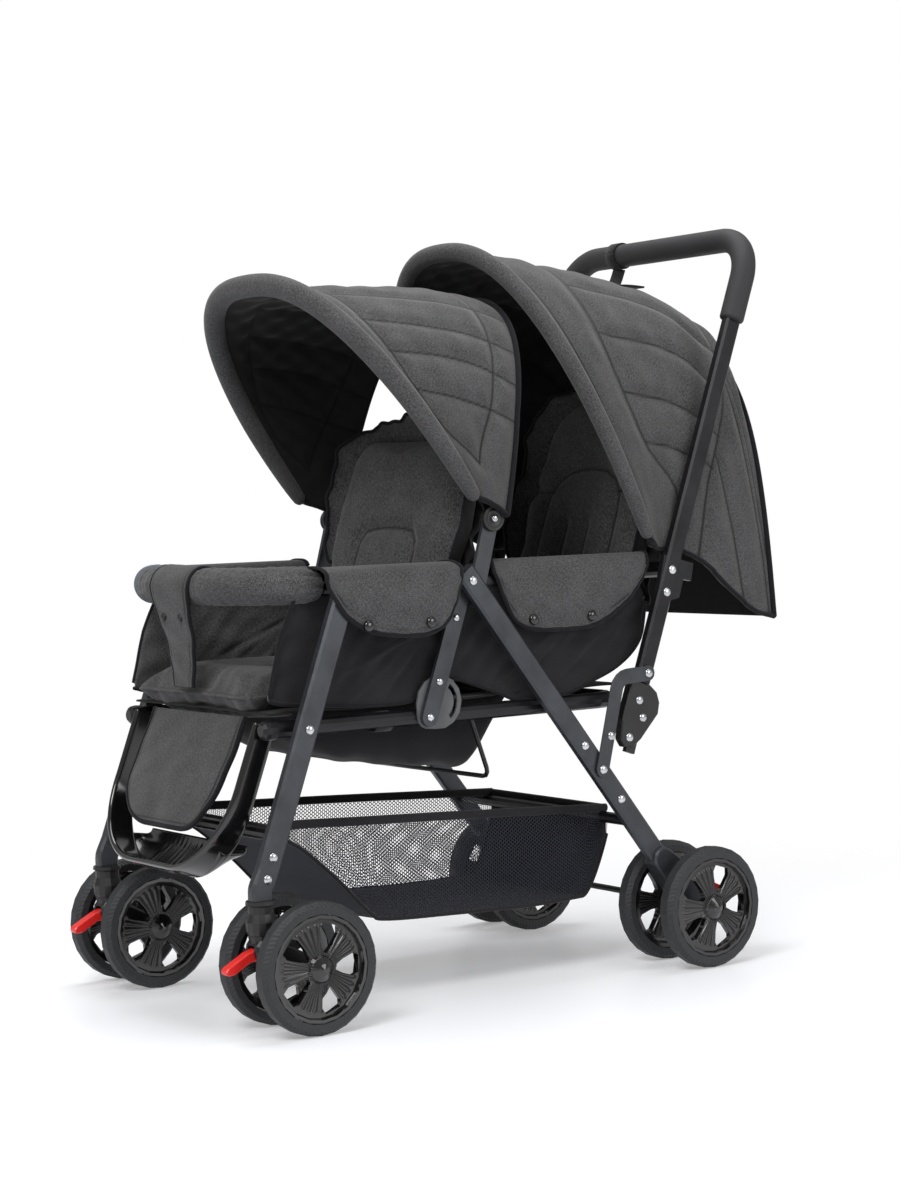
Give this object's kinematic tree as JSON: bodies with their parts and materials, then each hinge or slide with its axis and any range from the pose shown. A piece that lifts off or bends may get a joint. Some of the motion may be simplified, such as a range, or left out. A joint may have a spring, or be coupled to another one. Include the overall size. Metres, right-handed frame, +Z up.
{
  "type": "double stroller",
  "caption": "Folding tandem pushchair with one seat behind the other, hooded seats, footrest, padded bar, mesh basket, twin-wheel casters and a push handle.",
  "frame": {"origin": "on the ground, under the middle of the bounding box", "axes": "+Z is up, the children face -Y and the push handle is at +Y, +X is the children's left"},
  "size_m": [0.535, 0.9221, 1.019],
  "materials": {
    "leg_metal": "satin gunmetal paint",
    "black_metal": "satin black paint",
    "axle_steel": "plain turned steel",
    "black_plastic": "fine matt moulding",
    "gloss_plastic": "glossy moulding",
    "grey_plastic": "satin moulding",
    "red_plastic": "red moulding",
    "tyre": "soft matt tread",
    "foam": "closed foam",
    "grey_fabric": "heather grey melange weave",
    "black_fabric": "plain black weave",
    "mesh_fabric": "open black mesh"
  },
  "bodies": {
    "seat_frame": {"seat_frame_tube": "black_metal", "footwell_hoop": "black_metal", "front_seat_cushion": "grey_fabric", "rear_seat_cushion": "grey_fabric", "seat_tub": "black_fabric", "basket": "mesh_fabric", "footrest_hoop": "gloss_plastic", "footrest_tray": "gloss_plastic", "calf_flap": "grey_fabric", "lock_quadrant_left": "grey_plastic", "lock_quadrant_right": "grey_plastic"},
    "front_legs": {"front_leg_left": "leg_metal", "front_leg_right": "leg_metal", "front_crossbar": "black_metal", "caster_socket_left": "black_plastic", "caster_socket_right": "black_plastic"},
    "uprights": {"upright_left": "leg_metal", "upright_right": "leg_metal"},
    "armrests": {"armrest_tube_left": "black_metal", "armrest_tube_right": "black_metal", "armrest_cover_left": "grey_fabric", "armrest_cover_right": "grey_fabric"},
    "bumper": {"bumper_bar": "grey_fabric", "crotch_strap": "grey_fabric"},
    "rear_legs": {"rear_leg_left": "leg_metal", "rear_leg_right": "leg_metal", "rear_crossbar": "black_metal", "rear_axle": "axle_steel"},
    "handle": {"handle_tube": "black_metal", "handle_grip": "foam", "knee_lock_left": "black_plastic", "knee_lock_right": "black_plastic"},
    "links": {"fold_link_left": "leg_metal", "fold_link_right": "leg_metal"},
    "front_canopy_frame": {"front_canopy": "grey_fabric"},
    "rear_canopy_frame": {"rear_canopy": "grey_fabric"},
    "front_back_frame": {"front_seat_back": "grey_fabric"},
    "rear_back_frame": {"rear_seat_back": "grey_fabric"},
    "caster_left": {"caster_fork_left": "black_plastic"},
    "swivel_lock_left": {"swivel_lock_left": "red_plastic"},
    "brake_left": {"brake_pedal_left": "red_plastic"},
    "front_wheel_left_outer": {"front_rim_left_outer": "gloss_plastic", "front_tyre_left_outer": "tyre"},
    "rear_wheel_left_outer": {"rear_rim_left_outer": "gloss_plastic", "rear_tyre_left_outer": "tyre"},
    "front_wheel_left_inner": {"front_rim_left_inner": "gloss_plastic", "front_tyre_left_inner": "tyre"},
    "rear_wheel_left_inner": {"rear_rim_left_inner": "gloss_plastic", "rear_tyre_left_inner": "tyre"},
    "caster_right": {"caster_fork_right": "black_plastic"},
    "swivel_lock_right": {"swivel_lock_right": "red_plastic"},
    "brake_right": {"brake_pedal_right": "red_plastic"},
    "front_wheel_right_outer": {"front_rim_right_outer": "gloss_plastic", "front_tyre_right_outer": "tyre"},
    "rear_wheel_right_outer": {"rear_rim_right_outer": "gloss_plastic", "rear_tyre_right_outer": "tyre"},
    "front_wheel_right_inner": {"front_rim_right_inner": "gloss_plastic", "front_tyre_right_inner": "tyre"},
    "rear_wheel_right_inner": {"rear_rim_right_inner": "gloss_plastic", "rear_tyre_right_inner": "tyre"}
  },
  "joints": [
    {"name": "frame_fold", "type": "hinge", "parent": "seat_frame", "child": "uprights", "pos_m": [0, -0.14, 0.37], "axis": [1, 0, 0], "range_deg": [0, 60], "deforming": ["front_canopy", "rear_canopy"]},
    {"name": "front_leg_fold", "type": "hinge", "parent": "seat_frame", "child": "front_legs", "pos_m": [0, -0.332, 0.37], "axis": [1, 0, 0], "range_deg": [-1, 61]},
    {"name": "armrest_fold", "type": "hinge", "parent": "uprights", "child": "armrests", "pos_m": [0, -0.078, 0.543], "axis": [1, 0, 0], "range_deg": [-61, 1]},
    {"name": "rear_leg_fold", "type": "hinge", "parent": "uprights", "child": "rear_legs", "pos_m": [0, -0.078, 0.543], "axis": [1, 0, 0], "range_deg": [-36, 1]},
    {"name": "handle_fold", "type": "hinge", "parent": "armrests", "child": "handle", "pos_m": [0, 0.256, 0.543], "axis": [1, 0, 0], "range_deg": [-1, 65]},
    {"name": "link_fold", "type": "hinge", "parent": "rear_legs", "child": "links", "pos_m": [0, 0.12341, 0.281], "axis": [1, 0, 0], "range_deg": [-65, 1]},
    {"name": "bumper_pull", "type": "slide", "parent": "armrests", "child": "bumper", "axis": [0, -1, 0], "range_m": [0, 0.03]},
    {"name": "front_canopy_tilt", "type": "hinge", "parent": "uprights", "child": "front_canopy_frame", "pos_m": [0, -0.034, 0.622], "axis": [1, 0, 0], "range_deg": [-25, 0]},
    {"name": "rear_canopy_tilt", "type": "hinge", "parent": "handle", "child": "rear_canopy_frame", "pos_m": [0, 0.234, 0.58], "axis": [1, 0, 0], "range_deg": [-15, 0]},
    {"name": "front_recline", "type": "hinge", "parent": "seat_frame", "child": "front_back_frame", "pos_m": [0, -0.112, 0.405], "axis": [1, 0, 0], "range_deg": [-18, 0]},
    {"name": "rear_recline", "type": "hinge", "parent": "seat_frame", "child": "rear_back_frame", "pos_m": [0, 0.218, 0.428], "axis": [1, 0, 0], "range_deg": [-10, 0]},
    {"name": "caster_swivel_left", "type": "hinge", "parent": "front_legs", "child": "caster_left", "pos_m": [0.2035, -0.406, 0.125], "axis": [0, 0, 1], "continuous": true},
    {"name": "swivel_lock_lift_left", "type": "hinge", "parent": "caster_left", "child": "swivel_lock_left", "pos_m": [0.2035, -0.418, 0.101], "axis": [1, 0, 0], "range_deg": [-25, 0]},
    {"name": "brake_press_left", "type": "hinge", "parent": "rear_legs", "child": "brake_left", "pos_m": [0.2035, 0.298, 0.106], "axis": [1, 0, 0], "range_deg": [-18, 0]},
    {"name": "front_spin_left_outer", "type": "hinge", "parent": "caster_left", "child": "front_wheel_left_outer", "pos_m": [0.248, -0.356, 0.0825], "axis": [1, 0, 0], "continuous": true},
    {"name": "rear_spin_left_outer", "type": "hinge", "parent": "rear_legs", "child": "rear_wheel_left_outer", "pos_m": [0.248, 0.276, 0.0825], "axis": [1, 0, 0], "continuous": true},
    {"name": "front_spin_left_inner", "type": "hinge", "parent": "caster_left", "child": "front_wheel_left_inner", "pos_m": [0.159, -0.356, 0.0825], "axis": [1, 0, 0], "continuous": true},
    {"name": "rear_spin_left_inner", "type": "hinge", "parent": "rear_legs", "child": "rear_wheel_left_inner", "pos_m": [0.159, 0.276, 0.0825], "axis": [1, 0, 0], "continuous": true},
    {"name": "caster_swivel_right", "type": "hinge", "parent": "front_legs", "child": "caster_right", "pos_m": [-0.2035, -0.406, 0.125], "axis": [0, 0, 1], "continuous": true},
    {"name": "swivel_lock_lift_right", "type": "hinge", "parent": "caster_right", "child": "swivel_lock_right", "pos_m": [-0.2035, -0.418, 0.101], "axis": [1, 0, 0], "range_deg": [-25, 0]},
    {"name": "brake_press_right", "type": "hinge", "parent": "rear_legs", "child": "brake_right", "pos_m": [-0.2035, 0.298, 0.106], "axis": [1, 0, 0], "range_deg": [-18, 0]},
    {"name": "front_spin_right_outer", "type": "hinge", "parent": "caster_right", "child": "front_wheel_right_outer", "pos_m": [-0.248, -0.356, 0.0825], "axis": [1, 0, 0], "continuous": true},
    {"name": "rear_spin_right_outer", "type": "hinge", "parent": "rear_legs", "child": "rear_wheel_right_outer", "pos_m": [-0.248, 0.276, 0.0825], "axis": [1, 0, 0], "continuous": true},
    {"name": "front_spin_right_inner", "type": "hinge", "parent": "caster_right", "child": "front_wheel_right_inner", "pos_m": [-0.159, -0.356, 0.0825], "axis": [1, 0, 0], "continuous": true},
    {"name": "rear_spin_right_inner", "type": "hinge", "parent": "rear_legs", "child": "rear_wheel_right_inner", "pos_m": [-0.159, 0.276, 0.0825], "axis": [1, 0, 0], "continuous": true}
  ],
  "couplings": [
    {"joint": "front_leg_fold", "follows": "frame_fold", "ratio": 1},
    {"joint": "armrest_fold", "follows": "frame_fold", "ratio": -1},
    {"joint": "rear_leg_fold", "follows": "frame_fold", "ratio": -0.58},
    {"joint": "handle_fold", "follows": "frame_fold", "ratio": 1.063},
    {"joint": "link_fold", "follows": "frame_fold", "ratio": -1.065}
  ]
}
